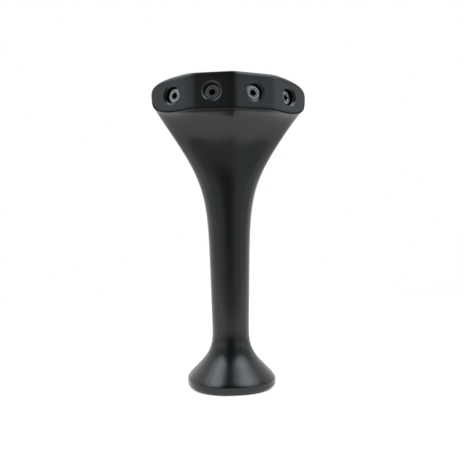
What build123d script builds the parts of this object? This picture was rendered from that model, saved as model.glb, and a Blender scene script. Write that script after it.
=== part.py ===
from build123d import *
import os
from math import cos, exp, log, pi, radians, sin

# Four-outlet beer tower: a hollow cast column on a flared foot, swept forward into a wide
# hood whose front is a fan of four flat facets. Each facet has a threaded tap outlet with a
# steel spigot in it. The taps themselves are not part of the tower.
# Millimetres, +Z up, the taps point to -Y, and the origin is the middle of the foot's seat.

os.makedirs("parts", exist_ok=True)

# ---------------------------------------------------------------- driving dimensions

# Foot and column
seal_thickness = 1.5
seal_inset = 3.4
rim_height = 10.0
rim_edge_radius = 3.0
foot_half_width = 56.6
foot_half_depth = 59.5
foot_squareness = 2.3
foot_flare_height = 72.7
foot_flare_power = 4.3
foot_flare_belly = 3.0
neck_radius = 24.0
neck_height = 70.0
column_taper = 0.0205
wall = 4.5

# Hood
hood_flare_height = 257.9
hood_flare_blend = 22.4
hood_flare_slope = 0.626
hood_bend_height = 255.0
hood_bend_reach = 80.0
hood_front_squareness = 7.5
hood_front_blend = 15.0
hood_back_squareness = 5.2
hood_back_blend = 4.0
mouth_flare = 3.8
head_rise = 23.2
head_drop = 20.2
cheek_drop = 1.3
crown_squareness = 4.0
side_squareness = 5.0
throat_squareness = 2.0
throat_gain = 5.0

# Fan of four facets
outlet_height = 365.6
fan_reach = 71.5
inner_facet_width = 53.6
inner_facet_angle = 12.5
outer_facet_angle = 36.6
outer_outlet_offset = 26.0
face_wall = 6.0
face_edge_radius = 3.0
side_crease_radius = 38.0
middle_crease_radius = 18.0
pad_radius = 15.0
pad_depth = 17.0

# Tap outlets
thread_radius = 11.46
thread_depth = 5.3
mouth_radius = 12.3
mouth_depth = 0.8
relief_radius = 12.1
port_depth = 10.0

# Spigots, their washers, locknuts and line nuts
disc_radius = 10.2
disc_thickness = 1.5
washer_thickness = 1.0
boss_radius = 7.4
boss_depth = 5.8
groove_outer_radius = 5.8
groove_inner_radius = 4.9
groove_depth = 1.2
bore_radius = 3.4
bore_mouth_radius = 4.2
drive_width = 7.0
drive_depth = 5.0
stem_radius = 6.2
stem_end_depth = 36.0
line_socket_depth = 7.0
locknut_width = 19.0
locknut_thickness = 6.0
line_nut_width = 15.0
line_nut_length = 12.0
line_nut_overlap = 6.0

# Beer lines, cooling loop, foam core and spacers
line_radius = 4.0
line_wall = 1.0
line_circle_radius = 12.5
line_end_height = 14.0
line_bend_radius = 16.0
line_bend_depth = 58.0
outer_line_turn_height = 262.0
inner_line_turn_height = 290.0
loop_bend_radius = 13.0
loop_half_width = 14.0
loop_back = 9.0
loop_top_height = 338.0
loop_spread_height = 285.0
loop_turn_height = 245.0
core_bottom_height = 62.0
core_top_height = 225.0
spacer_thickness = 5.0
bundle_places = 6

# Base plate, its screws and the bar bolts
plate_thickness = 8.0
plate_opening_radius = 24.0
bar_bolt_circle_radius = 36.0
bar_bolt_radius = 4.0
plate_screw_circle_radius = 43.0
plate_screw_radius = 2.4
plate_screw_head_radius = 4.8
plate_screw_length = 16.0
lug_radius = 6.5
lug_height = 18.0

# Clearances
fit_gap = 0.1
slide_gap = 0.3

# ---------------------------------------------------------------- derived values

plate_top = seal_thickness + plate_thickness
screw_head_height = plate_screw_head_radius - plate_screw_radius
stem_hole_radius = stem_radius + fit_gap
line_hole_radius = line_radius + fit_gap
line_start_depth = stem_end_depth - line_socket_depth
disc_depth = port_depth - washer_thickness
column_narrowing = column_taper * (neck_height - rim_height)
outline_steps = 16
foot_steps = [0, 0.06, 0.13, 0.2, 0.29, 0.4, 0.55, 0.75, 1]
shaft_steps = 7
hood_steps = 12
foot_heights = [rim_height + step * foot_flare_height for step in foot_steps]
shaft_rise = (hood_bend_height - foot_heights[-1]) / (shaft_steps + 1)
shaft_heights = [foot_heights[-1] + shaft_rise * (i + 1) for i in range(shaft_steps)]
hood_angles = [90 * i / hood_steps for i in range(hood_steps + 1)]
hood_cut_height = outlet_height + 2 * head_rise - hood_bend_height


def column_radius(z):
    """Radius of the plain tapered column."""
    return neck_radius + column_taper * (z - neck_height)


def foot_flare(z, half):
    """What the foot adds to the column's radius at height z."""
    u = min(max((z - rim_height) / foot_flare_height, 0), 1)
    full = half - neck_radius + column_narrowing
    return full * (1 - u) ** foot_flare_power * (1 + foot_flare_belly * u)


def hood_flare(z):
    """What the hood adds to the half width: nothing low down, a straight slope high up."""
    return hood_flare_slope * hood_flare_blend * log(1 + exp((z - hood_flare_height) / hood_flare_blend))


def half_width(z):
    return column_radius(z) + foot_flare(z, foot_half_width) + hood_flare(z)


def half_depth(z):
    return column_radius(z) + foot_flare(z, foot_half_depth)


def bend_radius(angle, reach, rise, squareness):
    """Distance from the hinge line to a superellipse that turns from upright to level."""
    return ((cos(angle) / reach) ** squareness + (sin(angle) / rise) ** squareness) ** (-1 / squareness)


def half_outline(half, depth_at, squareness, way):
    """Points of half a section, from right to left: way is 1 for the back, -1 for the front."""
    points = []
    for i in range(outline_steps + 1):
        turn = pi * i / outline_steps
        reach = (abs(cos(turn)) ** squareness + sin(turn) ** squareness) ** (-1 / squareness)
        u = reach * cos(turn)
        v = reach * sin(turn) if i < outline_steps else 0
        points.append(Vector(half * u, way * v * depth_at(u)))
    return points


def smooth_section(plane, half, front, back, front_squareness, back_squareness):
    """Face in the plane with a smooth outline, front(u) deep to the front and back(u) to the back."""
    steps = [i / outline_steps for i in range(outline_steps + 1)]
    with BuildLine() as outline:
        for depth_at, squareness, way in ((back, back_squareness, 1), (front, front_squareness, -1)):
            points = half_outline(half, depth_at, squareness, way)
            placed = [plane.from_local_coords(point) for point in points]
            pull = plane.y_dir * way * pi
            ends = [pull * depth_at(1), pull * -depth_at(1)]
            add(Edge.make_spline(placed, tangents=ends, parameters=steps, scale=False))
    return Face(outline.wire())


def column_section(z, inset):
    """Level section of the foot and column at height z."""
    blend = min(max((z - rim_height) / foot_flare_height, 0), 1)
    squareness = foot_squareness + (2 - foot_squareness) * blend
    depth = half_depth(z) - inset
    plane = Plane.XY.offset(z)
    return smooth_section(plane, half_width(z) - inset, lambda u: depth, lambda u: depth, squareness, squareness)


def rim_section(z, inset):
    """Level section of the foot's upright rim, placed at height z."""
    half = half_width(rim_height) - inset
    depth = half_depth(rim_height) - inset
    plane = Plane.XY.offset(z)
    return smooth_section(plane, half, lambda u: depth, lambda u: depth, foot_squareness, foot_squareness)


def hood_section(angle_degrees, inset):
    """Section of the hood in a plane that turns about the hinge line in front of the column."""
    angle = radians(angle_degrees)
    column_half = half_depth(hood_bend_height)
    rise = outlet_height - hood_bend_height
    side = bend_radius(angle, hood_bend_reach, rise, side_squareness)
    crown = bend_radius(angle, hood_bend_reach + column_half, rise + head_rise, crown_squareness)
    side_height = hood_bend_height + side * sin(angle)

    def front(u):
        squareness = throat_squareness + throat_gain * abs(u) ** 1.5
        level = rise - head_drop - cheek_drop * u**2 * sin(angle) ** 2
        throat = bend_radius(angle, hood_bend_reach - column_half, level, squareness)
        return side - throat - inset

    def back(u):
        return crown - side - inset

    front_squareness = 2 + (hood_front_squareness - 2) * sin(angle) ** hood_front_blend
    back_squareness = 2 + (hood_back_squareness - 2) * sin(angle) ** hood_back_blend
    plane = Plane(
        origin=(0, side * cos(angle) - hood_bend_reach, side_height),
        x_dir=(1, 0, 0),
        z_dir=(0, -sin(angle), cos(angle)),
    )
    half = half_width(side_height) + mouth_flare * sin(angle) ** 4 - inset
    return smooth_section(plane, half, front, back, front_squareness, back_squareness)


def fan_outline(depth):
    """Plan points of the fan's face, moved back by depth: middle, crease and far end."""
    inner = radians(inner_facet_angle)
    outer = radians(outer_facet_angle)
    half_turn = (outer - inner) / 2
    middle = Vector(0, depth / cos(inner) - fan_reach)
    crease_front = Vector(inner_facet_width * cos(inner), inner_facet_width * sin(inner) - fan_reach)
    back = depth / cos(half_turn)
    mean = (inner + outer) / 2
    crease = crease_front + Vector(-sin(mean), cos(mean)) * back
    end = crease + Vector(cos(outer), sin(outer)) * 2 * inner_facet_width
    return middle, crease, end


def fan_cutter(depth):
    """Region in front of the fan's face, moved back by depth, as a plan sketch."""
    middle, crease, end = fan_outline(depth)
    front = -4 * fan_reach
    with BuildSketch(Plane.XY.offset(hood_bend_height)) as cutter:
        with BuildLine():
            Polyline(
                (-end.X, end.Y), (-crease.X, crease.Y), (0, middle.Y), (crease.X, crease.Y),
                (end.X, end.Y), (end.X, front), (-end.X, front), close=True,
            )
        make_face()
    return cutter.sketch


def is_on_fan(shape):
    """Whether the middle of a face or edge is at the outlets' height, within the fan's width."""
    middle = shape.center()
    return middle.Z > hood_bend_height and middle.Y < fan_reach / 2 - fan_reach


def skin_sections(inset):
    """Sections of the casting from the foot's rim to in front of the face."""
    sections = [column_section(z, inset) for z in foot_heights + shaft_heights]
    return sections + [hood_section(angle, inset) for angle in hood_angles]


def outlet_plane(side, outer):
    """Plane on a facet at the middle of its outlet: local X along the facet, local Z out of it."""
    middle, crease, end = fan_outline(0)
    if outer:
        along = (end - crease).normalized()
        spot = crease + along * outer_outlet_offset
    else:
        along = (crease - middle).normalized()
        spot = middle + along * (inner_facet_width / 2)
    return Plane(
        origin=(side * spot.X, spot.Y, outlet_height),
        x_dir=(side * along.X, along.Y, 0),
        z_dir=(side * along.Y, -along.X, 0),
    )


outlets = [outlet_plane(-1, True), outlet_plane(-1, False), outlet_plane(1, False), outlet_plane(1, True)]


def turned(outlet, profile):
    """Body of revolution about an outlet's axis from (radius, depth behind the facet) points."""
    section_plane = Plane(outlet.origin, x_dir=outlet.x_dir, z_dir=outlet.x_dir.cross(outlet.z_dir))
    with BuildPart() as body:
        with BuildSketch(section_plane):
            with BuildLine():
                Polyline([(radius, -depth) for radius, depth in profile], close=True)
            make_face()
        revolve(axis=Axis(outlet.origin, outlet.z_dir))
    return body.part


def nut_blank(outlet, width, depth, length):
    """Hexagonal prism about an outlet's axis, from depth behind the facet."""
    with BuildPart() as blank:
        with BuildSketch(outlet.offset(-depth)):
            RegularPolygon(width / 2, 6, major_radius=False)
        extrude(amount=-length)
    return blank.part


def bored(outlet, radius, depth, length):
    """Cylinder about an outlet's axis, from depth behind the facet."""
    return turned(outlet, [(0, depth), (radius, depth), (radius, depth + length), (0, depth + length)])


def tube(points, bend_radius):
    """Bent tube through the points."""
    with BuildPart() as body:
        with BuildLine() as route:
            FilletPolyline(*points, radius=bend_radius)
        with BuildSketch(Plane(origin=route.line @ 0, z_dir=route.line % 0)):
            Circle(line_radius)
            Circle(line_radius - line_wall, mode=Mode.SUBTRACT)
        sweep(path=route.line)
    return body.part


def bundle_spot(place):
    """Plan position of a place in the bundle of lines, counted anticlockwise from the right."""
    turn = 2 * pi * place / bundle_places
    return line_circle_radius * cos(turn), line_circle_radius * sin(turn)


def export(part, label):
    part.label = label
    export_step(part, f"parts/{label}.step")


# ---------------------------------------------------------------- casting

# The hollow inside the casting: an even wall, thicker behind the facets, with a boss
# behind each outlet and four lugs in the foot.
with BuildPart() as cavity:
    loft(skin_sections(wall))
    extrude(rim_section(rim_height, wall), amount=seal_thickness - rim_height)
    extrude(fan_cutter(face_wall), amount=hood_cut_height, mode=Mode.SUBTRACT)
    for outlet in outlets:
        with BuildSketch(outlet):
            Circle(pad_radius)
        extrude(amount=-pad_depth, mode=Mode.SUBTRACT)
    with BuildSketch(Plane.XY.offset(plate_top)):
        with PolarLocations(plate_screw_circle_radius, 4):
            Circle(lug_radius)
    extrude(amount=lug_height, mode=Mode.SUBTRACT)

with BuildPart() as tower_body:
    loft(skin_sections(0))
    extrude(rim_section(rim_height, 0), amount=seal_thickness - rim_height)
    fillet(tower_body.edges().group_by(Axis.Z)[0], rim_edge_radius)
    extrude(fan_cutter(0), amount=hood_cut_height, mode=Mode.SUBTRACT)

    # Round the creases between the facets, then the border of the whole fan
    creases = tower_body.edges().filter_by(lambda edge: is_on_fan(edge) and edge.geom_type == GeomType.LINE)
    middle_crease, *side_creases = creases.sort_by(Axis.Y)
    fillet(side_creases, side_crease_radius)
    fillet(middle_crease, middle_crease_radius)
    border = tower_body.faces().filter_by(is_on_fan).filter_by(GeomType.BSPLINE, reverse=True).edges()
    fillet(border.filter_by(GeomType.LINE, reverse=True), face_edge_radius)

    # Hollow it and bore the outlets
    add(cavity.part, mode=Mode.SUBTRACT)
    for outlet in outlets:
        port = [
            (0, -1), (mouth_radius, -1), (mouth_radius, 0), (thread_radius, mouth_depth),
            (thread_radius, thread_depth), (relief_radius, thread_depth), (relief_radius, port_depth),
            (stem_hole_radius, port_depth), (stem_hole_radius, pad_depth + 1), (0, pad_depth + 1),
        ]
        add(turned(outlet, port), mode=Mode.SUBTRACT)
    with BuildSketch(Plane.XY.offset(plate_top)):
        with PolarLocations(plate_screw_circle_radius, 4):
            Circle(plate_screw_radius + fit_gap)
    extrude(amount=plate_screw_length - plate_thickness + 1, mode=Mode.SUBTRACT)

export(tower_body.part, "tower_body")


# ---------------------------------------------------------------- fittings of each outlet

for number, outlet in enumerate(outlets, 1):
    with BuildPart() as spigot:
        profile = [
            (bore_mouth_radius, boss_depth), (groove_inner_radius, boss_depth),
            (groove_inner_radius, boss_depth + groove_depth), (groove_outer_radius, boss_depth + groove_depth),
            (groove_outer_radius, boss_depth), (boss_radius, boss_depth),
            (boss_radius, disc_depth - disc_thickness), (disc_radius, disc_depth - disc_thickness),
            (disc_radius, disc_depth), (stem_radius, disc_depth), (stem_radius, stem_end_depth),
            (line_hole_radius, stem_end_depth), (line_hole_radius, line_start_depth),
            (bore_radius, line_start_depth), (bore_radius, boss_depth + bore_mouth_radius - bore_radius),
        ]
        add(turned(outlet, profile))
        add(nut_blank(outlet, drive_width, boss_depth, drive_depth), mode=Mode.SUBTRACT)
    export(spigot.part, f"spigot_{number}")

    with BuildPart() as washer:
        add(bored(outlet, disc_radius, disc_depth, washer_thickness))
        add(bored(outlet, stem_hole_radius, disc_depth, washer_thickness), mode=Mode.SUBTRACT)
    export(washer.part, f"spigot_washer_{number}")

    with BuildPart() as locknut:
        add(nut_blank(outlet, locknut_width, pad_depth, locknut_thickness))
        add(bored(outlet, stem_hole_radius, pad_depth, locknut_thickness), mode=Mode.SUBTRACT)
    export(locknut.part, f"locknut_{number}")

    with BuildPart() as line_nut:
        nut_depth = stem_end_depth - line_nut_overlap
        add(nut_blank(outlet, line_nut_width, nut_depth, line_nut_length))
        add(bored(outlet, stem_hole_radius, nut_depth, line_nut_overlap + fit_gap), mode=Mode.SUBTRACT)
        add(bored(outlet, line_hole_radius, nut_depth, line_nut_length), mode=Mode.SUBTRACT)
    export(line_nut.part, f"line_nut_{number}")


# ---------------------------------------------------------------- beer lines and cooling loop

line_turns = [
    (3, outer_line_turn_height), (4, inner_line_turn_height),
    (5, inner_line_turn_height), (0, outer_line_turn_height),
]
for number, (outlet, (place, turn_height)) in enumerate(zip(outlets, line_turns), 1):
    x, y = bundle_spot(place)
    corner = outlet.from_local_coords(Vector(0, 0, -line_bend_depth))
    end = outlet.from_local_coords(Vector(0, 0, -line_start_depth))
    with BuildPart() as beer_line:
        add(tube([(x, y, line_end_height), (x, y, turn_height), corner, end], line_bend_radius))
    export(beer_line.part, f"beer_line_{number}")

with BuildPart() as cooling_loop:
    x, y = bundle_spot(1)
    rise = [
        (x, y, line_end_height), (x, y, loop_turn_height),
        (loop_half_width, loop_back, loop_spread_height), (loop_half_width, loop_back, loop_top_height),
    ]
    fall = [(-x, y, z) for x, y, z in reversed(rise)]
    add(tube(rise + fall, loop_bend_radius))
export(cooling_loop.part, "cooling_loop")

with BuildPart() as insulation_core:
    with BuildSketch(Plane.XY.offset(core_bottom_height)):
        Circle(neck_radius - wall - slide_gap)
        with PolarLocations(line_circle_radius, bundle_places):
            Circle(line_hole_radius, mode=Mode.SUBTRACT)
    extrude(amount=core_top_height - core_bottom_height)
export(insulation_core.part, "insulation_core")

for label, height, thickness in (
    ("upper_line_spacer", core_top_height, spacer_thickness),
    ("lower_line_spacer", core_bottom_height, -spacer_thickness),
):
    with BuildPart() as line_spacer:
        extrude(column_section(height, wall + slide_gap), amount=thickness)
        with BuildSketch(Plane.XY.offset(height)):
            with PolarLocations(line_circle_radius, bundle_places):
                Circle(line_hole_radius)
        extrude(amount=thickness, mode=Mode.SUBTRACT)
    export(line_spacer.part, label)


# ---------------------------------------------------------------- base plate and seal

with BuildPart() as base_plate:
    extrude(rim_section(seal_thickness, wall + slide_gap), amount=plate_thickness)
    with BuildSketch(Plane.XY.offset(seal_thickness)):
        Circle(plate_opening_radius)
        with PolarLocations(bar_bolt_circle_radius, 4, start_angle=45):
            Circle(bar_bolt_radius)
    extrude(amount=plate_thickness, mode=Mode.SUBTRACT)
    with Locations(Plane(origin=(0, 0, seal_thickness), z_dir=(0, 0, -1))):
        with PolarLocations(plate_screw_circle_radius, 4):
            CounterSinkHole(
                plate_screw_radius + fit_gap, plate_screw_head_radius + fit_gap,
                depth=plate_thickness, counter_sink_angle=90,
            )
export(base_plate.part, "base_plate")

with BuildPart() as plate_screw:
    with BuildSketch(Plane.XZ):
        with BuildLine():
            Polyline(
                (0, seal_thickness), (plate_screw_head_radius, seal_thickness),
                (plate_screw_radius, seal_thickness + screw_head_height),
                (plate_screw_radius, seal_thickness + plate_screw_length),
                (0, seal_thickness + plate_screw_length), close=True,
            )
        make_face()
    revolve(axis=Axis.Z)
for number, spot in enumerate(PolarLocations(plate_screw_circle_radius, 4).local_locations, 1):
    export(spot * plate_screw.part, f"plate_screw_{number}")

with BuildPart() as base_seal:
    extrude(rim_section(0, seal_inset), amount=seal_thickness)
    with BuildSketch(Plane.XY):
        Circle(plate_opening_radius)
        with PolarLocations(bar_bolt_circle_radius, 4, start_angle=45):
            Circle(bar_bolt_radius)
    extrude(amount=seal_thickness, mode=Mode.SUBTRACT)
export(base_seal.part, "base_seal")
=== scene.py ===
"""Looks of the four-outlet beer tower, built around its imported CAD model.

Lengths are in millimetres in the CAD frame, with +Z up, the outlets facing -Y and the seat at
Z = 0. Textures, the floor and the lamps are in metres.
"""

import math

import bpy
import numpy as np
from mathutils import Matrix, Vector
from mathutils.geometry import delaunay_2d_cdt


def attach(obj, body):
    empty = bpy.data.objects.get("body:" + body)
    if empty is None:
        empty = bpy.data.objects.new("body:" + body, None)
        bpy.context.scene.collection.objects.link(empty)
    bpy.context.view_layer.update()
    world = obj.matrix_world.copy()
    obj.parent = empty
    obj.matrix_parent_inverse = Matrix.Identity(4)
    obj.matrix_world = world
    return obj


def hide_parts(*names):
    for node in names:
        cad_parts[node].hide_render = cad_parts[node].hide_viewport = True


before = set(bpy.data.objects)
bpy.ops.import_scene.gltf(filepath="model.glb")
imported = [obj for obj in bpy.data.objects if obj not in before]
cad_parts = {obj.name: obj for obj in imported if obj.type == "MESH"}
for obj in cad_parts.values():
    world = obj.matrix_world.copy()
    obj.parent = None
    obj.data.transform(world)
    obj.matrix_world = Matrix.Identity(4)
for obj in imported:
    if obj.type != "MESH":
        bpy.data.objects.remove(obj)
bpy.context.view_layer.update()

MM = 0.001

# ------------------------------------------------------------------ the casting's dimensions

# foot and column
SEAT_HEIGHT = 1.5
RIM_HEIGHT = 10.0
RIM_EDGE_RADIUS = 3.0
FOOT_HALF_WIDTH = 56.6
FOOT_HALF_DEPTH = 59.5
FOOT_SQUARENESS = 2.3
FLARE_HEIGHT = 72.7
FLARE_POWER = 4.3
FLARE_BELLY = 3.0
NECK_RADIUS = 24.0
NECK_HEIGHT = 70.0
TAPER = 0.0205
WALL = 4.5

# the rim's upper corner: the wall's end below it, the corner's own inset and drop, the flare's start
RIM_CORNER_BELOW = 0.5
RIM_CORNER_INSET = 0.06
RIM_CORNER_DROP = 0.1
RIM_CORNER_ABOVE = 0.45

# hood
HOOD_FLARE_HEIGHT = 257.9
HOOD_FLARE_BLEND = 22.4
HOOD_FLARE_SLOPE = 0.626
BEND_HEIGHT = 255.0
BEND_REACH = 80.0
FRONT_SQUARENESS = 7.5
FRONT_BLEND = 15.0
BACK_SQUARENESS = 5.2
BACK_BLEND = 4.0
MOUTH_FLARE = 3.8
MOUTH_FLARE_BLEND = 4
HEAD_RISE = 23.2
HEAD_DROP = 20.2
CHEEK_DROP = 2.8
CROWN_SQUARENESS = 4.0
SIDE_SQUARENESS = 5.0
THROAT_SQUARENESS = 2.0
THROAT_GAIN = 5.0
THROAT_GAIN_POWER = 1.5

# fan of four facets
OUTLET_HEIGHT = 365.6
FAN_REACH = 71.5
FACET_WIDTH = 53.6
INNER_ANGLE = math.radians(12.5)
OUTER_ANGLE = math.radians(36.6)
OUTER_OFFSET = 26.0
CREASE_RADIUS = 38.0
MIDDLE_RADIUS = 30.0
FACE_WALL = 6.0

# border of the face: each top value blends into the bottom one over BORDER_BLEND
FACE_EDGE_TOP = 2.6       # radius of the rounded edge round the face
FACE_EDGE_BOTTOM = 0.9
FACE_ROLL_TOP = 8.5       # how far the face's soft roll reaches in from its border
FACE_ROLL_BOTTOM = 6.6
FACE_SLOPE_TOP = 0.27     # slope of the roll where it meets the rounded edge
FACE_SLOPE_BOTTOM = 0.3
BORDER_BLEND = 20.0
ENDS_START = 72.0         # distance from the middle at which the roll starts to flatten
ENDS_BLEND = 20.0
ENDS_FLATTENING = 0.8
FACE_LINE_WIDTH = 1.35    # dark line between the roll and the lower edge
FACE_LINE_DEPTH = 1.1
FACE_LINE_FLOOR = (0.35, 0.65)   # where its floor lies, as shares of its width
FACE_LINE_FADE = 14.0     # distance below the outlets over which it reaches its full depth

# tap outlets and the bosses behind them
MOUTH_RADIUS = 12.3
MOUTH_DEPTH = 0.8
MOUTH_OVERSIZE = 0.4      # the rounded lip starts this much outside the mouth
LIP = ((0.25, 0.03), (0.08, 0.11), (-0.12, 0.24), (-0.34, 0.42), (-0.58, 0.62))
THREAD_RADIUS = 11.46
THREAD_DEPTH = 5.3
THREAD_PITCH = 1.814
THREAD_RIDGE = 1.0
THREAD_PEAK = 1.35        # height of the uncut ridge, as a share of the cut one
THREAD_FLANK = 3.4        # what the flanks fall over one pitch, in the same share
THREAD_RUNOUT = 0.7       # over which the ridge fades at both ends
BORE_START = 0.05         # where the lip meets the bore, below the mouth's depth
RELIEF_RADIUS = 12.1
RELIEF_STEP = 0.15        # depth of the step from the thread to its relief
PORT_DEPTH = 10.0
SEAT_CORNER = 0.8         # rounded corner between the relief and the seat, and its middle's inset
SEAT_CORNER_MIDDLE = 0.25
STEM_HOLE_RADIUS = 6.3
PAD_RADIUS = 15.0
PAD_DEPTH = 17.0

# how finely the casting's skin is sampled
AROUND = 256              # columns of the skin
RIM_STEPS = 7
RIM_WALL_STEPS = 3
FLARE_STEPS = 48
FLARE_BUNCHING = 1.35     # brings the flare's rings closer together near the rim
COLUMN_STEPS = 45
HOOD_STEPS = 96
EDGE_STEPS = 8
ROLL_STEPS = 8
MIDDLE_COLUMNS = 13       # columns of points on the middle crease and on each side crease
CREASE_COLUMNS = 17
COLUMN_POINTS = 17
COLUMN_MARGIN = 2.0       # from the roll to the columns' ends, and their fall towards the sides
COLUMN_FALL = 0.03
LOWER_BORDER_SPAN = 60    # distance from the middle up to which the lower border limits them
OUTLET_SIDES = 96
THREAD_STEPS = 40
INNER_FLARE_STEPS = 24
INNER_COLUMN_STEPS = 11
INNER_HOOD_STEPS = 32
BISECTIONS = 50
SKIN_STEP = 0.01          # hood angle stepped back from the border to find the skin's direction
EDGE_SEARCH = 0.6         # share of the border's angle from which its rounded edge is looked for
MIDDLE_PULL = 0.3         # how far the way into the face leans to its middle: it is wide and low
SMOOTH_ANGLE = math.radians(35)
NORMAL_WEIGHT = 80


# ------------------------------------------------------------------ the casting's form


def column_radius(z):
    return NECK_RADIUS + TAPER * (z - NECK_HEIGHT)


def foot_flare(z, half):
    """What the foot's flare adds to the column at height z, for a foot of this half size."""
    u = np.clip((z - RIM_HEIGHT) / FLARE_HEIGHT, 0, 1)
    full = half - NECK_RADIUS + TAPER * (NECK_HEIGHT - RIM_HEIGHT)
    return full * (1 - u) ** FLARE_POWER * (1 + FLARE_BELLY * u)


def hood_flare(z):
    bend = np.log1p(np.exp((z - HOOD_FLARE_HEIGHT) / HOOD_FLARE_BLEND))
    return HOOD_FLARE_SLOPE * HOOD_FLARE_BLEND * bend


def half_width(z):
    return column_radius(z) + foot_flare(z, FOOT_HALF_WIDTH) + hood_flare(z)


def half_depth(z):
    return column_radius(z) + foot_flare(z, FOOT_HALF_DEPTH)


def superellipse(turns, squareness):
    """Unit superellipse points at polar angles."""
    cosine, sine = np.cos(turns), np.sin(turns)
    reach = (np.abs(cosine) ** squareness + np.abs(sine) ** squareness) ** (-1 / squareness)
    return reach * cosine, reach * sine


def column_ring(z, inset, turns):
    """Ring of the foot or column at height z."""
    blend = np.clip((z - RIM_HEIGHT) / FLARE_HEIGHT, 0, 1)
    u, v = superellipse(turns, FOOT_SQUARENESS + (2 - FOOT_SQUARENESS) * blend)
    return np.stack([(half_width(z) - inset) * u, (half_depth(z) - inset) * v, np.full_like(u, z)], -1)


def bend_radius(angle, reach, rise, squareness):
    """Distance from the hinge line, on a quarter superellipse with these half axes."""
    cosine = np.maximum(np.cos(angle), 1e-9)
    return ((cosine / reach) ** squareness + (np.sin(angle) / rise) ** squareness) ** (-1 / squareness)


def hood_points(angle, turns, inset):
    """Points of the hood: angle turns about the hinge line, turns go round the section."""
    sine, cosine = np.sin(angle), np.cos(angle)
    column_half = half_depth(BEND_HEIGHT)
    rise = OUTLET_HEIGHT - BEND_HEIGHT
    side = bend_radius(angle, BEND_REACH, rise, SIDE_SQUARENESS)
    crown = bend_radius(angle, BEND_REACH + column_half, rise + HEAD_RISE, CROWN_SQUARENESS)
    side_height = BEND_HEIGHT + side * sine
    front_squareness = 2 + (FRONT_SQUARENESS - 2) * sine**FRONT_BLEND
    back_squareness = 2 + (BACK_SQUARENESS - 2) * sine**BACK_BLEND
    u, v = superellipse(turns, np.where(np.sin(turns) > 0, back_squareness, front_squareness))
    throat_squareness = THROAT_SQUARENESS + THROAT_GAIN * np.abs(u) ** THROAT_GAIN_POWER
    level = rise - HEAD_DROP - CHEEK_DROP * u**2 * sine**2
    throat = bend_radius(angle, BEND_REACH - column_half, level, throat_squareness)
    depth = np.where(v > 0, crown - side, side - throat) - inset
    half = half_width(side_height) + MOUTH_FLARE * sine**MOUTH_FLARE_BLEND - inset
    return np.stack(
        [half * u, side * cosine - BEND_REACH + v * depth * cosine, side_height + v * depth * sine], -1
    )


# ------------------------------------------------------------------ the fan of facets


def back_from_crease(distance):
    """Plan step from the corner of an inner and an outer facet, this far behind both of them."""
    mean = (INNER_ANGLE + OUTER_ANGLE) / 2
    length = distance / math.cos((OUTER_ANGLE - INNER_ANGLE) / 2)
    return np.array([-math.sin(mean), math.cos(mean)]) * length


def fan_corners(depth):
    """Plan points of the right half of the fan, moved back by depth: middle and crease."""
    middle = np.array([0.0, depth / math.cos(INNER_ANGLE) - FAN_REACH])
    crease = np.array([FACET_WIDTH * math.cos(INNER_ANGLE), FACET_WIDTH * math.sin(INNER_ANGLE) - FAN_REACH])
    return middle, crease + back_from_crease(depth)


def crease_centre(depth):
    """Plan centre of the rounded crease between an inner and an outer facet."""
    _, crease = fan_corners(depth)
    return crease + back_from_crease(CREASE_RADIUS - depth)


def fan_front(x, depth):
    """Y of the fan's face at each x, and its outward normal's angle from -Y."""
    x = np.abs(x)
    middle, _ = fan_corners(depth)
    # the inner facet, the rounded crease and the outer facet
    centre = crease_centre(depth)
    radius = CREASE_RADIUS - depth
    start = centre[0] + radius * math.sin(INNER_ANGLE)
    end = centre[0] + radius * math.sin(OUTER_ANGLE)
    end_y = centre[1] - radius * math.cos(OUTER_ANGLE)
    across = np.clip((x - centre[0]) / radius, -1, 1)
    on_arc = centre[1] - radius * np.sqrt(1 - across**2)
    y = np.where(x < start, middle[1] + x * math.tan(INNER_ANGLE), on_arc)
    y = np.where(x > end, end_y + (x - end) * math.tan(OUTER_ANGLE), y)
    angle = np.clip(np.arcsin(across), INNER_ANGLE, OUTER_ANGLE)
    # the middle crease
    nose = MIDDLE_RADIUS - depth
    nose_y = middle[1] + nose / math.cos(INNER_ANGLE)
    near = x < nose * math.sin(INNER_ANGLE)
    across = np.clip(x / nose, -1, 1)
    y = np.where(near, nose_y - nose * np.sqrt(1 - across**2), y)
    angle = np.where(near, np.arcsin(across), angle)
    return y, angle


def bisect(holds, low, high):
    """Largest angle of each column, between low and high, at which the test still holds."""
    for _ in range(BISECTIONS):
        middle = (low + high) / 2
        below = holds(middle)
        low = np.where(below, middle, low)
        high = np.where(below, high, middle)
    return low


def border_angles(turns, inset, depth):
    """Hood angle at which each column of the skin meets the fan."""

    def behind_fan(angles):
        points = hood_points(angles, turns, inset)
        return points[:, 1] > fan_front(points[:, 0], depth)[0]

    return bisect(behind_fan, np.zeros_like(turns), np.full_like(turns, math.pi / 2))


class Outlet:
    """Axis of one tap outlet, which gives rings by their radius and their depth behind the facet."""

    def __init__(self, side, outer):
        middle, crease = fan_corners(0)
        angle = OUTER_ANGLE if outer else INNER_ANGLE
        start, offset = (crease, OUTER_OFFSET) if outer else (middle, FACET_WIDTH / 2)
        spot = start + offset * np.array([math.cos(angle), math.sin(angle)])
        self.origin = np.array([side * spot[0], spot[1], OUTLET_HEIGHT])
        self.normal = np.array([side * math.sin(angle), -math.cos(angle), 0])
        self.right = np.array([math.cos(angle), side * math.sin(angle), 0])

    def ring(self, radius, depth):
        turns = np.arange(OUTLET_SIDES)[:, None] * 2 * math.pi / OUTLET_SIDES
        radius = np.broadcast_to(radius, OUTLET_SIDES)[:, None]
        ring = np.cos(turns) * radius * self.right + np.sin(turns) * radius * np.array([0, 0, 1.0])
        return self.origin + ring - self.normal * depth


OUTLETS = [Outlet(-1, True), Outlet(-1, False), Outlet(1, False), Outlet(1, True)]


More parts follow.
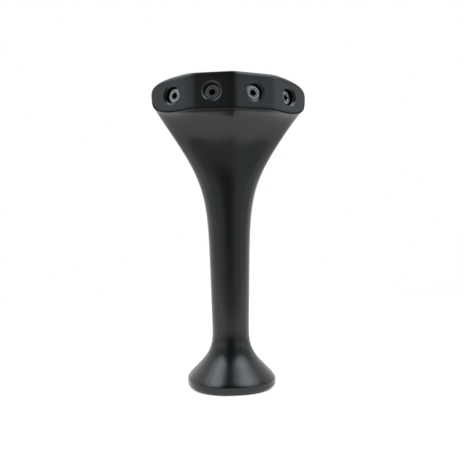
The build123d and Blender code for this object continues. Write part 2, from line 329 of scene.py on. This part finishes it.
# ------------------------------------------------------------------ mesh building


class Builder:
    """Collects points and faces of one mesh."""

    def __init__(self):
        self.points = []
        self.faces = []

    def add_ring(self, points):
        first = len(self.points)
        self.points.extend(tuple(p) for p in points)
        return list(range(first, len(self.points)))

    def bridge(self, lower, upper, flip=False):
        count = len(lower)
        for i in range(count):
            j = (i + 1) % count
            face = (lower[i], lower[j], upper[j], upper[i])
            self.faces.append(face[::-1] if flip else face)

    def add_tube(self, rings, start=None, flip=False):
        """Adds rings and joins each to the one before, the first of them to start if there is one."""
        added = [self.add_ring(ring) for ring in rings]
        chain = added if start is None else [start] + added
        for lower, upper in zip(chain, chain[1:]):
            self.bridge(lower, upper, flip)
        return added

    def fill(self, loops, extra=(), flip=False):
        """Fills the region between loops, the outer one first, over X and Z, with extra inner points."""
        flat = [(x, z) for x, _, z in self.points]
        indices = [i for loop in loops for i in loop]
        edges = []
        for loop in loops:
            start = len(edges)
            edges += [(start + i, start + (i + 1) % len(loop)) for i in range(len(loop))]
        indices += extra
        outline = [list(range(len(loops[0])))]
        corners = [Vector(flat[i]) for i in indices]
        verts, _, triangles, origins, _, _ = delaunay_2d_cdt(corners, edges, outline, 0, 1e-6)
        names = [indices[origin[0]] for origin in origins]
        boundary, *holes = [[flat[i] for i in loop] for loop in loops]
        for triangle in triangles:
            middle = np.mean([verts[i] for i in triangle], axis=0)
            if not inside(middle, boundary) or any(inside(middle, hole) for hole in holes):
                continue
            a, b, c = (verts[i] for i in triangle)
            turn = (b[0] - a[0]) * (c[1] - a[1]) - (b[1] - a[1]) * (c[0] - a[0])
            face = [names[i] for i in triangle]
            self.faces.append(face[::-1] if (turn < 0) != flip else face)

    def build(self, name, material):
        mesh = bpy.data.meshes.new(name)
        mesh.from_pydata([Vector(p) * MM for p in self.points], [], self.faces)
        mesh.validate()
        mesh.polygons.foreach_set("use_smooth", [True] * len(mesh.polygons))
        mesh.set_sharp_from_angle(angle=SMOOTH_ANGLE)
        mesh.materials.append(material)
        piece = bpy.data.objects.new(name, mesh)
        bpy.context.scene.collection.objects.link(piece)
        weighted = piece.modifiers.new("weighted_normals", "WEIGHTED_NORMAL")
        weighted.keep_sharp = True
        weighted.weight = NORMAL_WEIGHT
        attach(piece, "root")
        return piece


def inside(point, polygon):
    """Whether a plane point is inside a polygon."""
    result = False
    x, y = point
    for i, (x1, y1) in enumerate(polygon):
        x0, y0 = polygon[i - 1]
        if (y0 > y) != (y1 > y) and x < (x1 - x0) * (y - y0) / (y1 - y0) + x0:
            result = not result
    return result


# ------------------------------------------------------------------ the casting's skin


def unit(vectors):
    return vectors / np.linalg.norm(vectors, axis=-1, keepdims=True)


def dot(first, second):
    return np.sum(first * second, axis=1)


def towards(vectors, goal):
    """The vectors, turned round where they point away from the goal."""
    return vectors * np.sign(dot(vectors, goal))[:, None]


class FaceBorder:
    """Border of the face, one point for each column of the skin.

    The face rolls back softly towards it, over reach. A rounded edge joins the roll to the skin.
    """

    def __init__(self, turns):
        self.turns = turns
        self.angles = border_angles(turns, 0, 0)
        edge = hood_points(self.angles, turns, 0)

        # directions from the border into the skin and into the face
        along = unit(np.roll(edge, -1, axis=0) - np.roll(edge, 1, axis=0))
        back = hood_points(self.angles - SKIN_STEP, turns, 0) - edge
        skin_normal = unit(np.cross(along, back))
        into_skin = towards(unit(np.cross(skin_normal, along)), back)
        _, angle = fan_front(edge[:, 0], 0)
        sideways = np.sign(edge[:, 0]) * np.sin(angle)
        face_normal = np.stack([sideways, -np.cos(angle), np.zeros_like(angle)], -1)
        to_middle = np.array([0, 0, OUTLET_HEIGHT]) - edge * [MIDDLE_PULL, 0, 1]
        self.into_face = towards(unit(np.cross(face_normal, along)), to_middle)

        # widths and slopes, between those of the lower and of the upper side
        upper = np.clip((edge[:, 2] - OUTLET_HEIGHT) / BORDER_BLEND + 0.5, 0, 1)
        ends = np.clip((np.abs(edge[:, 0]) - ENDS_START) / ENDS_BLEND, 0, 1)
        slope = FACE_SLOPE_BOTTOM + (FACE_SLOPE_TOP - FACE_SLOPE_BOTTOM) * upper
        self.slope = slope * (1 - ENDS_FLATTENING * ends * ends * (3 - 2 * ends))
        self.reach = FACE_ROLL_BOTTOM + (FACE_ROLL_TOP - FACE_ROLL_BOTTOM) * upper
        self.radius = FACE_EDGE_BOTTOM + (FACE_EDGE_TOP - FACE_EDGE_BOTTOM) * upper

        # the roll moves the border along the skin, and the rounded edge touches both
        rolled = unit(self.into_face + face_normal * self.slope[:, None])
        opening = np.arccos(np.clip(dot(into_skin, rolled), -1, 1))
        self.set_back = self.radius / np.tan(opening / 2)
        lowered = self.slope * ((self.reach - self.set_back) / 3 + self.set_back)
        self.edge = edge - into_skin * (lowered / dot(into_skin, face_normal))[:, None]
        self.centre = self.edge + unit(into_skin + rolled) * (self.radius / np.sin(opening / 2))[:, None]
        self.first = self.edge + into_skin * self.set_back[:, None]
        self.last = self.edge + rolled * self.set_back[:, None]

    def skin_angles(self):
        """Hood angle at which each column of the skin reaches the rounded edge."""
        width = np.linalg.norm(self.first - self.edge, axis=1)

        def before_edge(angles):
            return np.linalg.norm(hood_points(angles, self.turns, 0) - self.edge, axis=1) > width

        return bisect(before_edge, self.angles * EDGE_SEARCH, self.angles)

    def edge_rings(self):
        """Rings of the rounded edge, after the skin's last one."""
        start, stop = unit(self.first - self.centre), unit(self.last - self.centre)
        sweep = np.arccos(np.clip(dot(start, stop), -1, 1))[:, None]
        rings = []
        for t in np.linspace(0, 1, EDGE_STEPS + 1)[1:]:
            mix = (np.sin((1 - t) * sweep) * start + np.sin(t * sweep) * stop) / np.sin(sweep)
            rings.append(self.centre + mix * self.radius[:, None])
        return rings

    def roll_ring(self, share, sunk):
        """Ring of the face's roll: share runs from the rounded edge, 0, to the flat face, 1."""
        width = self.reach - self.set_back
        points = self.edge + self.into_face * (self.set_back + width * share)[:, None]
        depth = self.slope * width / 3 * (1 - share) ** 3 + sunk
        face, angle = fan_front(points[:, 0], 0)
        points[:, 1] = face + depth / np.cos(angle)
        return points

    def roll_rings(self):
        """Rings of the dark line, which is there on the lower side alone, and of the roll."""
        line = FACE_LINE_WIDTH / (self.reach - self.set_back)
        sunk = FACE_LINE_DEPTH * np.clip((OUTLET_HEIGHT - self.edge[:, 2]) / FACE_LINE_FADE, 0, 1)
        rings = [self.roll_ring(line * share, sunk) for share in FACE_LINE_FLOOR]
        return rings + [self.roll_ring(line + (1 - line) * t, 0) for t in np.linspace(0, 1, ROLL_STEPS + 1)]


def rim_rings(turns):
    """Rings of the rim: its rounding at the seat, its wall and its upper corner."""
    base = column_ring(RIM_HEIGHT, 0, turns)
    level = np.zeros(len(turns))
    outward = unit(np.stack([base[:, 0] / FOOT_HALF_WIDTH**2, base[:, 1] / FOOT_HALF_DEPTH**2, level], -1))

    def ring(inset, z):
        points = base - outward * inset
        points[:, 2] = z
        return points

    rings = []
    for turn in np.linspace(0, math.pi / 2, RIM_STEPS + 1):
        inset = RIM_EDGE_RADIUS * (1 - math.sin(turn))
        rings.append(ring(inset, SEAT_HEIGHT + RIM_EDGE_RADIUS * (1 - math.cos(turn))))
    wall = np.linspace(SEAT_HEIGHT + RIM_EDGE_RADIUS, RIM_HEIGHT - RIM_CORNER_BELOW, RIM_WALL_STEPS + 1)
    rings += [ring(0, z) for z in wall[1:]]
    return rings + [ring(RIM_CORNER_INSET, RIM_HEIGHT - RIM_CORNER_DROP)]


def skin_rings(turns, border):
    """Rings of the outside, from the seat up to the rounded edge of the face."""
    spread = np.linspace(0, 1, FLARE_STEPS + 1) ** FLARE_BUNCHING
    flare = RIM_HEIGHT + RIM_CORNER_ABOVE + (FLARE_HEIGHT - RIM_CORNER_ABOVE) * spread
    column = np.linspace(RIM_HEIGHT + FLARE_HEIGHT, BEND_HEIGHT, COLUMN_STEPS + 1)[1:]
    rings = rim_rings(turns) + [column_ring(z, 0, turns) for z in (*flare, *column)]
    last = border.skin_angles()
    rings += [hood_points(last * share, turns, 0) for share in np.linspace(0, 1, HOOD_STEPS + 1)[1:-1]]
    return rings + [border.first]


def inner_rings(turns):
    """Rings of the inside, from the seat up to the back of the face's wall."""
    flare = np.linspace(RIM_HEIGHT, RIM_HEIGHT + FLARE_HEIGHT, INNER_FLARE_STEPS + 1)
    column = np.linspace(RIM_HEIGHT + FLARE_HEIGHT, BEND_HEIGHT, INNER_COLUMN_STEPS + 1)[1:]
    rings = [column_ring(z, WALL, turns) for z in (*flare, *column)]
    last = border_angles(turns, WALL, FACE_WALL)
    rings += [hood_points(last * share, turns, WALL) for share in np.linspace(0, 1, INNER_HOOD_STEPS + 1)[1:]]
    bottom = rings[0].copy()
    bottom[:, 2] = SEAT_HEIGHT
    return [bottom] + rings


def crease_points(border):
    """Points of the face in upright columns, which carry its rounded creases."""
    nose = MIDDLE_RADIUS * math.sin(INNER_ANGLE)
    columns = list(np.linspace(-nose, nose, MIDDLE_COLUMNS))
    centre = crease_centre(0)
    for turn in np.linspace(INNER_ANGLE, OUTER_ANGLE, CREASE_COLUMNS):
        columns += [side * (centre[0] + CREASE_RADIUS * math.sin(turn)) for side in (-1, 1)]
    heights = border.edge[:, 2]
    top = heights.max() - FACE_ROLL_TOP - COLUMN_MARGIN
    lower = heights[(heights < OUTLET_HEIGHT) & (np.abs(border.edge[:, 0]) < LOWER_BORDER_SPAN)]
    bottom = lower.max() + FACE_ROLL_BOTTOM + COLUMN_MARGIN
    points = []
    for x in columns:
        y = float(fan_front(np.array([x]), 0)[0][0])
        points += [(x, y, z) for z in np.linspace(bottom, top - COLUMN_FALL * abs(x), COLUMN_POINTS)]
    return points


def outlet_rings(outlet):
    """Rings of one outlet: its lip, thread, relief, seat and stem hole, and the boss behind it."""
    rings = [outlet.ring(MOUTH_RADIUS + wider, depth) for wider, depth in LIP]
    rings.append(outlet.ring(THREAD_RADIUS, MOUTH_DEPTH + BORE_START))
    shares = np.arange(OUTLET_SIDES) / OUTLET_SIDES
    for depth in np.linspace(MOUTH_DEPTH, THREAD_DEPTH, THREAD_STEPS + 1)[1:]:
        phase = (depth / THREAD_PITCH - shares) % 1.0
        ridge = np.clip(THREAD_PEAK - np.abs(phase - 0.5) * THREAD_FLANK, 0, 1)
        fade = min(1.0, (depth - MOUTH_DEPTH) / THREAD_RUNOUT, (THREAD_DEPTH - depth) / THREAD_RUNOUT)
        rings.append(outlet.ring(THREAD_RADIUS - THREAD_RIDGE * ridge * fade, depth))
    profile = (
        (RELIEF_RADIUS, THREAD_DEPTH + RELIEF_STEP),
        (RELIEF_RADIUS, PORT_DEPTH - SEAT_CORNER),
        (RELIEF_RADIUS - SEAT_CORNER_MIDDLE, PORT_DEPTH - SEAT_CORNER_MIDDLE),
        (RELIEF_RADIUS - SEAT_CORNER, PORT_DEPTH),
        (STEM_HOLE_RADIUS, PORT_DEPTH),
        (STEM_HOLE_RADIUS, PAD_DEPTH),
        (PAD_RADIUS, PAD_DEPTH),
        (PAD_RADIUS, FACE_WALL),
    )
    return rings + [outlet.ring(radius, depth) for radius, depth in profile]


def build_casting(material):
    """The hollow casting as one closed skin: outside, face, outlets, inside and the ring at the seat."""
    body = Builder()
    turns = np.arange(AROUND) * 2 * math.pi / AROUND
    border = FaceBorder(turns)
    outside = body.add_tube(skin_rings(turns, border) + border.edge_rings() + border.roll_rings())
    mouths = [body.add_ring(outlet.ring(MOUTH_RADIUS + MOUTH_OVERSIZE, 0)) for outlet in OUTLETS]
    body.fill([outside[-1]] + mouths, extra=body.add_ring(crease_points(border)))
    bosses = [body.add_tube(outlet_rings(outlet), mouth)[-1] for outlet, mouth in zip(OUTLETS, mouths)]
    lining = body.add_tube(inner_rings(turns), flip=True)
    body.fill([lining[-1]] + bosses, flip=True)
    body.bridge(outside[0], lining[0], flip=True)
    return body.build("casting_skin", material)


# ------------------------------------------------------------------ material nodes


def new_material(name):
    material = bpy.data.materials.new(name)
    material.use_nodes = True
    nodes = material.node_tree.nodes
    nodes.clear()
    output = nodes.new("ShaderNodeOutputMaterial")
    shader = nodes.new("ShaderNodeBsdfPrincipled")
    material.node_tree.links.new(shader.outputs[0], output.inputs[0])
    return material, material.node_tree, shader


def feed(tree, socket, value):
    """Sets a socket to a number or colour, or links another node's output to it."""
    if isinstance(value, (int, float, tuple)):
        socket.default_value = value
    else:
        tree.links.new(value, socket)


def object_coordinates(tree):
    return tree.nodes.new("ShaderNodeTexCoord").outputs["Object"]


def noise(tree, vector, scale, detail=2.0, roughness=0.5):
    node = tree.nodes.new("ShaderNodeTexNoise")
    node.inputs["Scale"].default_value = scale
    node.inputs["Detail"].default_value = detail
    node.inputs["Roughness"].default_value = roughness
    tree.links.new(vector, node.inputs["Vector"])
    return node.outputs["Fac"]


def ramp(tree, value, stops):
    """Colour ramp through stops, each a place from 0 to 1 and an RGB colour."""
    node = tree.nodes.new("ShaderNodeValToRGB")
    elements = node.color_ramp.elements
    while len(elements) < len(stops):
        elements.new(0.5)
    for element, (place, color) in zip(elements, stops):
        element.position = place
        element.color = (*color, 1)
    tree.links.new(value, node.inputs[0])
    return node.outputs[0]


def mottle(tree, cloud, dark, light):
    """Colour that wanders between dark and light with a noise."""
    return ramp(tree, cloud, [(0.3, dark), (0.7, light)])


def map_range(tree, value, low, high):
    node = tree.nodes.new("ShaderNodeMapRange")
    node.inputs["To Min"].default_value = low
    node.inputs["To Max"].default_value = high
    tree.links.new(value, node.inputs[0])
    return node.outputs[0]


def bump(tree, shader, height, strength, distance):
    node = tree.nodes.new("ShaderNodeBump")
    node.inputs["Strength"].default_value = strength
    node.inputs["Distance"].default_value = distance
    tree.links.new(height, node.inputs["Height"])
    tree.links.new(node.outputs[0], shader.inputs["Normal"])


def calc(tree, operation, *values, clamp=False):
    node = tree.nodes.new("ShaderNodeMath")
    node.operation = operation
    node.use_clamp = clamp
    for socket, value in zip(node.inputs, values):
        feed(tree, socket, value)
    return node.outputs[0]


def mix(tree, blend, factor, first, second):
    node = tree.nodes.new("ShaderNodeMix")
    node.data_type = "RGBA"
    node.blend_type = blend
    feed(tree, node.inputs[0], factor)
    feed(tree, node.inputs[6], first)
    feed(tree, node.inputs[7], second)
    return node.outputs[2]


def any_ray(tree, *kinds):
    """1 for a ray of one of these kinds, such as Is Camera Ray, and 0 for any other."""
    path = tree.nodes.new("ShaderNodeLightPath")
    found = path.outputs[kinds[0]]
    for kind in kinds[1:]:
        found = calc(tree, "MAXIMUM", found, path.outputs[kind])
    return found


# ------------------------------------------------------------------ materials


def powder_coat():
    """Black satin powder coat: a fine orange peel, a little uneven in colour and gloss."""
    material, tree, shader = new_material("powder_coat_black")
    place = object_coordinates(tree)
    cloud = noise(tree, place, scale=22, detail=3)
    color = mottle(tree, cloud, dark=(0.0026, 0.0034, 0.0042), light=(0.0036, 0.0045, 0.0054))
    tree.links.new(color, shader.inputs["Base Color"])
    grain = noise(tree, place, scale=900, detail=2, roughness=0.6)
    tree.links.new(map_range(tree, cloud, low=0.21, high=0.25), shader.inputs["Roughness"])
    bump(tree, shader, grain, strength=0.12, distance=0.00008)
    return material


def painted_recess_shade(tree, metal, width):
    """The metal's colour darkened in recesses up to this width, in metres: painted shade from ambient
    occlusion.
    """
    # painted shade: ambient occlusion within this width darkens the colour down to 5 % where shade falls in
    # recesses
    hollow = tree.nodes.new("ShaderNodeAmbientOcclusion")
    hollow.samples = 16
    hollow.inputs["Distance"].default_value = width
    shade_ramp = ramp(tree, hollow.outputs["AO"], [(0.32, (0.05, 0.05, 0.05)), (0.62, (1.0, 1.0, 1.0))])
    return mix(tree, "MULTIPLY", 1.0, metal, shade_ramp)


def brushed_metal(name, color, roughness, recess_shade=None):
    """Machined metal with fine scratches, with painted shade in recesses up to the given width in metres."""
    material, tree, shader = new_material(name)
    place = object_coordinates(tree)
    cloud = noise(tree, place, scale=160, detail=3)
    metal = mottle(tree, cloud, dark=tuple(c * 0.8 for c in color), light=color)
    if recess_shade:
        metal = painted_recess_shade(tree, metal, recess_shade)
    tree.links.new(metal, shader.inputs["Base Color"])
    shader.inputs["Metallic"].default_value = 1.0
    scratch = noise(tree, place, scale=2600, detail=1)
    sheen = map_range(tree, cloud, low=roughness * 0.85, high=roughness * 1.15)
    tree.links.new(sheen, shader.inputs["Roughness"])
    bump(tree, shader, scratch, strength=0.15, distance=0.00003)
    return material


def rubber(name):
    material, tree, shader = new_material(name)
    place = object_coordinates(tree)
    cloud = noise(tree, place, scale=60, detail=3)
    color = mottle(tree, cloud, dark=(0.012, 0.012, 0.012), light=(0.022, 0.022, 0.021))
    tree.links.new(color, shader.inputs["Base Color"])
    tree.links.new(map_range(tree, cloud, low=0.6, high=0.75), shader.inputs["Roughness"])
    bump(tree, shader, noise(tree, place, scale=1800), strength=0.3, distance=0.00005)
    return material


def foam(name):
    """Dark foam with open cells."""
    material, tree, shader = new_material(name)
    cell = tree.nodes.new("ShaderNodeTexVoronoi")
    cell.inputs["Scale"].default_value = 900
    tree.links.new(object_coordinates(tree), cell.inputs["Vector"])
    color = ramp(tree, cell.outputs[0], [(0.0, (0.02, 0.02, 0.02)), (0.6, (0.05, 0.05, 0.052))])
    tree.links.new(color, shader.inputs["Base Color"])
    shader.inputs["Roughness"].default_value = 0.9
    bump(tree, shader, cell.outputs[0], strength=0.5, distance=0.0003)
    return material


def moulded_plastic(name, color):
    material, tree, shader = new_material(name)
    place = object_coordinates(tree)
    cloud = noise(tree, place, scale=40, detail=3)
    pale = mottle(tree, cloud, dark=tuple(c * 0.9 for c in color), light=color)
    tree.links.new(pale, shader.inputs["Base Color"])
    shader.inputs["Roughness"].default_value = 0.45
    bump(tree, shader, noise(tree, place, scale=1200), strength=0.1, distance=0.00005)
    return material


coat = powder_coat()
# the spigots' stainless carries painted shade in its recesses, within 6 mm
stainless = brushed_metal("stainless", (0.33, 0.33, 0.34), roughness=0.22, recess_shade=0.006)
line_steel = brushed_metal("line_steel", (0.5, 0.5, 0.51), roughness=0.28)
zinc = brushed_metal("zinc_plate", (0.4, 0.41, 0.43), roughness=0.42)
brass = brushed_metal("nut_brass", (0.55, 0.39, 0.17), roughness=0.3)
seal_rubber = rubber("seal_rubber")
core_foam = foam("core_foam")
spacer_plastic = moulded_plastic("spacer_plastic", (0.62, 0.62, 0.58))

# material of each node, by the start of its name, longer starts first
FINISHES = {
    "spigot_washer": seal_rubber, "spigot": stainless, "locknut": brass, "line_nut": brass,
    "beer_line": line_steel, "cooling_loop": line_steel, "insulation_core": core_foam,
    "upper_line_spacer": spacer_plastic, "lower_line_spacer": spacer_plastic,
    "base_plate": zinc, "plate_screw": zinc, "base_seal": seal_rubber, "tower_body": coat,
}
for name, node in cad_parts.items():
    finish = next(material for start, material in FINISHES.items() if name.startswith(start))
    node.data.materials.clear()
    node.data.materials.append(finish)

casting = build_casting(coat)
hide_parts("tower_body")


# ------------------------------------------------------------------ floor and surroundings

# edges of the floor: left, right, near, far
FLOOR = (-1.3, 1.3, -0.38, 1.1)
FLOOR_DROP = 0.0002
# light added to the floor where it is seen or mirrored, and not where it lights the tower
FLOOR_TOP_UP = 0.6
LIGHT_TINT = (0.93, 1.0, 1.05)
# azimuth in degrees from -Y towards +X, and level, of the room's walls: pale, with a dark front
ROOM = (
    (-180, 0.62), (-115, 0.6), (-92, 0.62), (-80, 0.9), (-68, 0.66), (-46, 0.62), (-36, 0.52), (-28, 0.34),
    (-20, 0.11), (-12, 0.09), (-3, 0.08), (10, 0.13), (22, 0.48), (34, 0.64), (50, 0.6), (66, 0.9),
    (85, 0.66), (180, 0.62),
)
# height on the unit sphere and factor on the walls' level: a brighter band above eye level, a dim top
PROFILE = (
    (-1, 1.0), (-0.03, 1.0), (0.06, 0.95), (0.15, 1.7), (0.25, 1.75), (0.36, 1.0), (0.75, 0.6), (1, 0.2),
)
# dim ground beyond the floor, and how fast it takes over below the horizon
LOWER_FRONT = (0.49, 0.48, 0.46)
LOWER_GAIN = 4.6
# how fast the white background takes over behind the tower, for reflections
BEHIND_GAIN = 4.0


def add_floor():
    """A pale floor of lit paper, topped up to white where it is seen, so that it keeps the shadow."""
    material, tree, shader = new_material("floor_paper")
    cloud = noise(tree, object_coordinates(tree), scale=3)
    color = mottle(tree, cloud, dark=(0.78, 0.78, 0.78), light=(0.82, 0.82, 0.82))
    tree.links.new(color, shader.inputs["Base Color"])
    shader.inputs["Roughness"].default_value = 0.9
    seen = any_ray(tree, "Is Camera Ray", "Is Glossy Ray", "Is Transmission Ray")
    glow = tree.nodes.new("ShaderNodeEmission")
    tree.links.new(calc(tree, "MULTIPLY", seen, FLOOR_TOP_UP), glow.inputs["Strength"])
    total = tree.nodes.new("ShaderNodeAddShader")
    tree.links.new(shader.outputs[0], total.inputs[0])
    tree.links.new(glow.outputs[0], total.inputs[1])
    output = next(node for node in tree.nodes if node.type == "OUTPUT_MATERIAL")
    tree.links.new(total.outputs[0], output.inputs[0])
    mesh = bpy.data.meshes.new("floor")
    left, right, near, far = FLOOR
    corners = [(left, near, 0), (right, near, 0), (right, far, 0), (left, far, 0)]
    mesh.from_pydata(corners, [], [(0, 1, 2, 3)])
    mesh.materials.append(material)
    floor = bpy.data.objects.new("floor", mesh)
    floor.location.z = -FLOOR_DROP
    bpy.context.scene.collection.objects.link(floor)


def room_color(tree, x, y, z):
    """Colour of the room in the direction x, y, z: walls with a dark front, and a dim top and ground."""
    azimuth = calc(tree, "ARCTAN2", x, calc(tree, "MULTIPLY", y, -1.0))
    around = calc(tree, "ADD", calc(tree, "DIVIDE", azimuth, 2 * math.pi), 0.5)
    upward = calc(tree, "ADD", calc(tree, "MULTIPLY", z, 0.5), 0.5)
    walls = [((place + 180) / 360, tuple(level * c for c in LIGHT_TINT)) for place, level in ROOM]
    bands = [(height / 2 + 0.5, (factor, factor, factor)) for height, factor in PROFILE]
    room = mix(tree, "MULTIPLY", 1.0, ramp(tree, around, walls), ramp(tree, upward, bands))
    downward = calc(tree, "MULTIPLY", z, -LOWER_GAIN, clamp=True)
    return mix(tree, "LIGHTEN", downward, room, (*LOWER_FRONT, 1.0))


def add_world():
    """The room, which lights the tower, and the white background.

    The camera sees white all round. Reflections see it behind the tower and the room in front.
    """
    world = bpy.data.worlds.new("studio")
    bpy.context.scene.world = world
    world.use_nodes = True
    tree = world.node_tree
    tree.nodes.clear()
    split = tree.nodes.new("ShaderNodeSeparateXYZ")
    tree.links.new(tree.nodes.new("ShaderNodeTexCoord").outputs["Generated"], split.inputs[0])
    x, y, z = split.outputs
    room = tree.nodes.new("ShaderNodeBackground")
    tree.links.new(room_color(tree, x, y, z), room.inputs["Color"])
    white = tree.nodes.new("ShaderNodeBackground")
    white.inputs["Color"].default_value = (1, 1, 1, 1)
    behind = calc(tree, "MULTIPLY", y, BEHIND_GAIN, clamp=True)
    mirrored = calc(tree, "MULTIPLY", any_ray(tree, "Is Glossy Ray", "Is Transmission Ray"), behind)
    seen = calc(tree, "MAXIMUM", any_ray(tree, "Is Camera Ray"), mirrored)
    blend = tree.nodes.new("ShaderNodeMixShader")
    tree.links.new(seen, blend.inputs[0])
    tree.links.new(room.outputs[0], blend.inputs[1])
    tree.links.new(white.outputs[0], blend.inputs[2])
    output = tree.nodes.new("ShaderNodeOutputWorld")
    tree.links.new(blend.outputs[0], output.inputs[0])


add_floor()
add_world()


# ------------------------------------------------------------------ lamps

LAMP_TARGET = Vector((0, 0, 0.06))
LAMP_DISTANCE = 1.0
# elevation in degrees, width, height and radiance of a softbox and of its brighter core
SOFTBOX = (57, 0.88, 0.58, 1.7)
SOFTBOX_CORE = (65, 0.54, 0.48, 2.2)
# azimuths of each side's softbox and core, in degrees from -Y towards +X
LAMPS = {"left": (-79, -68), "right": (60, 52)}


def softbox(name, azimuth, elevation, width, height, radiance):
    """Elliptical area light aimed at the tower."""
    a, e = math.radians(azimuth), math.radians(elevation)
    direction = Vector((math.sin(a) * math.cos(e), -math.cos(a) * math.cos(e), math.sin(e)))
    data = bpy.data.lights.new(name, "AREA")
    data.shape = "ELLIPSE"
    data.size, data.size_y = width, height
    data.energy = radiance * math.pi * (math.pi / 4 * width * height)
    data.color = LIGHT_TINT
    lamp = bpy.data.objects.new(name, data)
    lamp.location = LAMP_TARGET + direction * LAMP_DISTANCE
    lamp.rotation_euler = (-direction).to_track_quat("-Z", "Y").to_euler()
    bpy.context.scene.collection.objects.link(lamp)


for side, (azimuth, core_azimuth) in LAMPS.items():
    softbox(f"softbox_{side}", azimuth, *SOFTBOX)
    softbox(f"softbox_{side}_core", core_azimuth, *SOFTBOX_CORE)


# ------------------------------------------------------------------ camera

CAMERA_DISTANCE = 694.64
CAMERA_HEIGHT = 191.156
CAMERA_AZIMUTH = math.radians(6.498)            # of its place, from -Y towards -X
CAMERA_TURN = CAMERA_AZIMUTH + math.radians(0.297)
CAMERA_PITCH = math.radians(-0.55)              # down is positive
CAMERA_ROLL = math.radians(0.872)
FOCAL_PIXELS = 528.6
PHOTO_PIXELS = 464
SENSOR = 36.0


def add_camera():
    """The photograph's camera."""
    forward = Vector((
        math.sin(CAMERA_TURN) * math.cos(CAMERA_PITCH), math.cos(CAMERA_TURN) * math.cos(CAMERA_PITCH),
        -math.sin(CAMERA_PITCH),
    ))
    level = Vector((math.cos(CAMERA_TURN), -math.sin(CAMERA_TURN), 0))
    upward = level.cross(forward)
    right = level * math.cos(CAMERA_ROLL) - upward * math.sin(CAMERA_ROLL)
    up = level * math.sin(CAMERA_ROLL) + upward * math.cos(CAMERA_ROLL)
    data = bpy.data.cameras.new("camera")
    data.sensor_fit = "HORIZONTAL"
    data.sensor_width = SENSOR
    data.lens = FOCAL_PIXELS / PHOTO_PIXELS * SENSOR
    data.clip_start = 0.01
    camera = bpy.data.objects.new("camera", data)
    side, back = math.sin(CAMERA_AZIMUTH), math.cos(CAMERA_AZIMUTH)
    spot = Vector((-CAMERA_DISTANCE * side, -CAMERA_DISTANCE * back, CAMERA_HEIGHT)) * MM
    turn = Matrix((right, up, -forward)).transposed().to_4x4()
    camera.matrix_world = Matrix.Translation(spot) @ turn
    bpy.context.scene.collection.objects.link(camera)
    return camera


camera = add_camera()
bpy.context.scene.camera = camera
bpy.context.scene.view_settings.view_transform = "Standard"
